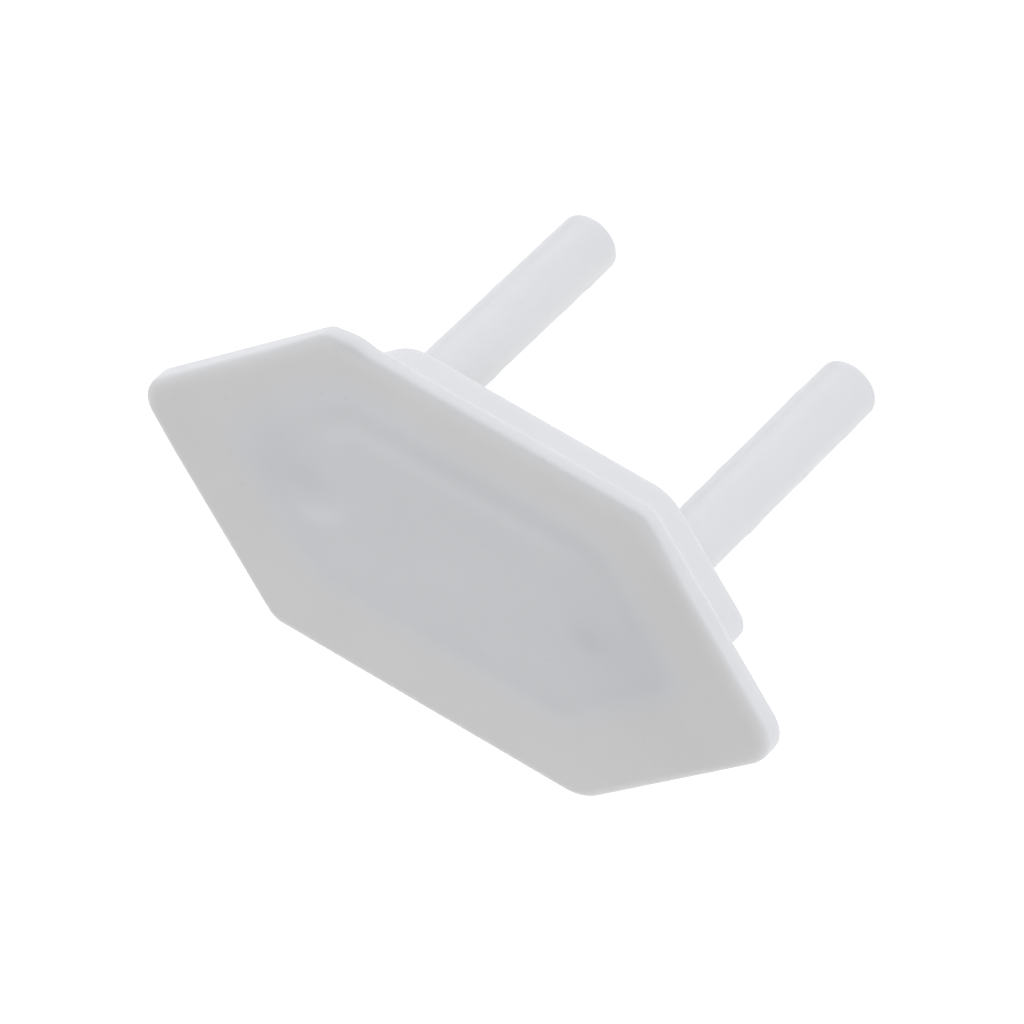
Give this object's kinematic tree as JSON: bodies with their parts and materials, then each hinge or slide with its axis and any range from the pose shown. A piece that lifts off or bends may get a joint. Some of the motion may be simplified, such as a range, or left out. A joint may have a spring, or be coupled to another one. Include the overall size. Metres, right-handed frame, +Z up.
{
  "type": "outlet safety cover",
  "caption": "Child-safety blanking cover for a socket outlet: a long hexagonal front plate with a hollow rim wall and solid round pins behind it.",
  "frame": {"origin": "middle of the plate's back face, halfway between the pins, on the plane that stops against the socket", "axes": "+Y along the pins, into the socket; +X along the plate's long axis, to the right seen from the front; +Z up"},
  "size_m": [0.045, 0.0294, 0.024],
  "materials": {
    "white_plastic": "smooth moulded, satin and slightly translucent"
  },
  "bodies": {
    "root": {"socket_cover": "white_plastic"}
  },
  "joints": []
}
